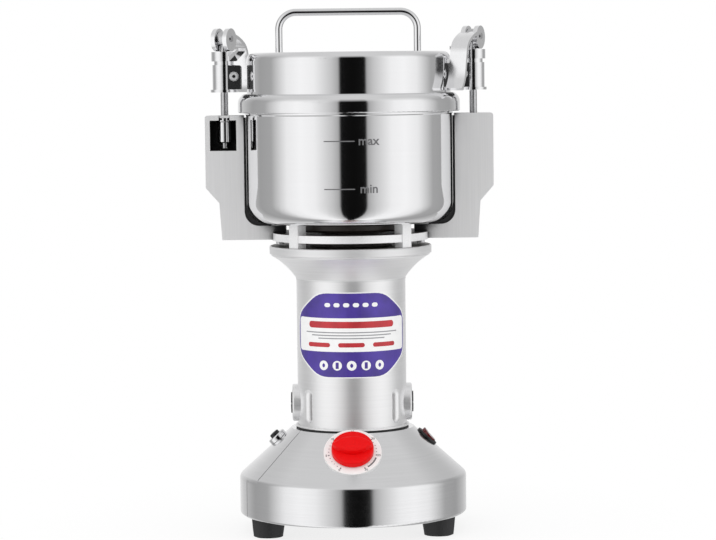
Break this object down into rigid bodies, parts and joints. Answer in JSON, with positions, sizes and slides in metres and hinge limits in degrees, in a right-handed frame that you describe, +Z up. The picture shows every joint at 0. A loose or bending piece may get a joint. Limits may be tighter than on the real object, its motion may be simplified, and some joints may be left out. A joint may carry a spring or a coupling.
{
  "type": "electric grain mill",
  "caption": "High-speed electric grain mill: a clamped steel bowl with lid and handle on a motor column, over a round base with timer dial, rocker switch and reset button.",
  "frame": {"origin": "on the floor under the motor axis", "axes": "+Z up along the motor axis, -Y to the front with the dial, +X to the switch"},
  "size_m": [0.237, 0.1896, 0.432],
  "materials": {
    "brushed_base": "brushed",
    "steel_plate": "zinc plated",
    "feet_rubber": "matt",
    "screw_steel": "plated",
    "dial_white": "printed",
    "timer_case": "moulded",
    "spindle_steel": "ground",
    "knob_red": "gloss",
    "switch_black": "gloss",
    "rocker_red": "gloss",
    "reset_chrome": "plated",
    "button_black": "gloss",
    "column_satin": "satin",
    "cap_black": "moulded",
    "guide_brass": "drawn",
    "carbon": "graphite",
    "flange_satin": "satin",
    "core_steel": "laminated",
    "winding_copper": "enamelled wire",
    "commutator_copper": "turned",
    "bearing_steel": "ground",
    "fan_plastic": "moulded",
    "cage_cast": "cast",
    "housing_cast": "cast, dark",
    "bowl_polished": "polished stainless steel",
    "seal_rubber": "silicone",
    "blade_steel": "ground",
    "lid_polished": "polished stainless steel",
    "pan_steel": "satin",
    "handle_polished": "polished",
    "bracket_satin": "satin",
    "rod_steel": "threaded",
    "nut_steel": "plated",
    "barrel_chrome": "plated",
    "claw_chrome": "plated",
    "block_black": "moulded",
    "lever_chrome": "plated"
  },
  "bodies": {
    "base": {"base_shell": "brushed_base", "base_plate": "steel_plate", "rubber_feet": "feet_rubber", "foot_screws": "screw_steel", "cord_gland": "feet_rubber", "dial_plate": "dial_white", "timer_body": "timer_case", "switch_housing": "switch_black", "reset_collar": "reset_chrome", "column_gasket": "feet_rubber", "column_tube": "column_satin", "brush_caps": "cap_black", "brush_tubes": "guide_brass", "carbon_brushes": "carbon", "column_flange": "flange_satin", "stator_core": "core_steel", "stator_windings": "winding_copper", "bearing_lower": "bearing_steel", "bearing_upper": "bearing_steel", "bearing_bracket": "steel_plate", "support_cage": "cage_cast", "bearing_housing": "housing_cast", "bowl": "bowl_polished", "shaft_seal": "seal_rubber", "bracket_left": "bracket_satin", "bracket_right": "bracket_satin", "bracket_screws": "screw_steel", "bowl_pad_left": "feet_rubber", "bowl_pad_right": "feet_rubber"},
    "lid": {"lid_shell": "lid_polished", "lid_inner": "pan_steel", "lid_seal": "seal_rubber", "lid_handle": "handle_polished"},
    "rotor": {"armature": "core_steel", "commutator": "commutator_copper", "motor_shaft": "spindle_steel", "cooling_fan": "fan_plastic", "blade_lower": "blade_steel", "blade_upper": "blade_steel", "blade_spacer": "blade_steel", "blade_nut": "blade_steel"},
    "timer": {"timer_knob": "knob_red", "timer_spindle": "spindle_steel"},
    "rocker": {"switch_rocker": "rocker_red"},
    "button": {"reset_button": "button_black"},
    "head_left": {"clamp_rod_left": "rod_steel", "adjusting_nut_left": "nut_steel", "lever_pin_left": "screw_steel"},
    "press_left": {"clamp_barrel_left": "barrel_chrome", "clamp_claw_left": "claw_chrome", "press_block_left": "block_black", "block_screws_left": "screw_steel"},
    "lever_left": {"clamp_lever_left": "lever_chrome"},
    "head_right": {"clamp_rod_right": "rod_steel", "adjusting_nut_right": "nut_steel", "lever_pin_right": "screw_steel"},
    "press_right": {"clamp_barrel_right": "barrel_chrome", "clamp_claw_right": "claw_chrome", "press_block_right": "block_black", "block_screws_right": "screw_steel"},
    "lever_right": {"clamp_lever_right": "lever_chrome"}
  },
  "joints": [
    {"name": "lid_lift", "type": "slide", "parent": "base", "child": "lid", "axis": [0, 0, 1], "range_m": [0, 0.12]},
    {"name": "rotor_spin", "type": "hinge", "parent": "base", "child": "rotor", "pos_m": [0, 0, 0.2], "axis": [0, 0, 1], "continuous": true},
    {"name": "timer_turn", "type": "hinge", "parent": "base", "child": "timer", "pos_m": [0, -0.06556, 0.07261], "axis": [0, 0.6692, -0.743], "range_deg": [0, 300]},
    {"name": "rocker_tip", "type": "hinge", "parent": "base", "child": "rocker", "pos_m": [0.06208, 0, 0.07697], "axis": [0, -1, 0], "range_deg": [0, 18]},
    {"name": "button_push", "type": "slide", "parent": "base", "child": "button", "axis": [0.6692, 0, -0.743], "range_m": [0, 0.0016], "stiffness_N_per_m": 300},
    {"name": "clamp_swivel_left", "type": "hinge", "parent": "base", "child": "head_left", "pos_m": [-0.1026, 0, 0.36], "axis": [0, 0, 1], "range_deg": [0, 160]},
    {"name": "lever_lift_left", "type": "hinge", "parent": "head_left", "child": "lever_left", "pos_m": [-0.1026, 0, 0.408], "axis": [0.9135, -0.4067, 0], "range_deg": [0, 110]},
    {"name": "press_rise_left", "type": "slide", "parent": "head_left", "child": "press_left", "axis": [0, 0, 1], "range_m": [0, 0.001]},
    {"name": "clamp_swivel_right", "type": "hinge", "parent": "base", "child": "head_right", "pos_m": [0.1026, 0, 0.36], "axis": [0, 0, 1], "range_deg": [0, 160]},
    {"name": "lever_lift_right", "type": "hinge", "parent": "head_right", "child": "lever_right", "pos_m": [0.1026, 0, 0.408], "axis": [-0.9135, 0.4067, 0], "range_deg": [0, 110]},
    {"name": "press_rise_right", "type": "slide", "parent": "head_right", "child": "press_right", "axis": [0, 0, 1], "range_m": [0, 0.001]}
  ],
  "couplings": [
    {"joint": "press_rise_left", "follows": "lever_lift_left", "m_per_rad": 0.00052},
    {"joint": "press_rise_right", "follows": "lever_lift_right", "m_per_rad": 0.00052}
  ]
}
